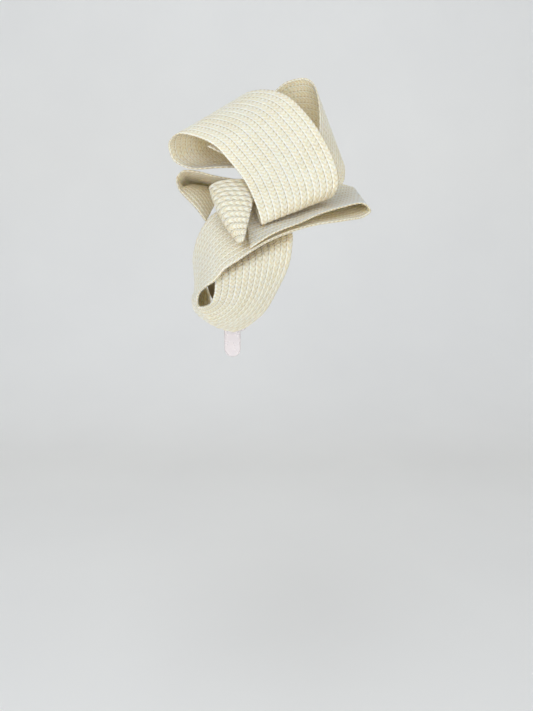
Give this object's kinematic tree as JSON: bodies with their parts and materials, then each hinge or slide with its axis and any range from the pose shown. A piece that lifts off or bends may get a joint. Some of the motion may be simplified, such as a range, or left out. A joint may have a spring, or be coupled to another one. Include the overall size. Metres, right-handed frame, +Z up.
{
  "type": "fascinator headpiece",
  "caption": "Fascinator of folded and rolled braided-straw ribbon loops, sewn at the side of a clear plastic headband over a hidden base.",
  "frame": {"origin": "middle of the flat on the underside of the headband, at the crown of the head", "axes": "+X towards the wearer's face, +Y towards the wearer's left, +Z up; the loops stand on the wearer's right side"},
  "size_m": [0.1496, 0.2186, 0.2129],
  "materials": {
    "ivory_braid": "matte woven",
    "clear_band": "frosted clear",
    "stiffened_net": "stiffened",
    "satin_cover": "satin",
    "felt_lining": "felt",
    "edge_binding": "bias tape",
    "edge_wire": "drawn",
    "sewing_thread": "spun"
  },
  "bodies": {
    "root": {"headband": "clear_band", "base_shell": "stiffened_net", "base_lining": "felt_lining", "base_cover": "satin_cover", "base_edge_wire": "edge_wire", "base_edge_binding": "edge_binding", "band_stitch_1": "sewing_thread", "band_stitch_2": "sewing_thread", "band_stitch_3": "sewing_thread", "band_stitch_4": "sewing_thread", "band_stitch_5": "sewing_thread", "crest_loop": "ivory_braid", "peak_loop": "ivory_braid", "scroll_loop": "ivory_braid", "swirl_loop": "ivory_braid", "centre_knot": "ivory_braid", "crest_stitch": "sewing_thread", "peak_stitch": "sewing_thread", "scroll_stitch": "sewing_thread", "swirl_stitch": "sewing_thread", "knot_stitch": "sewing_thread"}
  },
  "joints": []
}
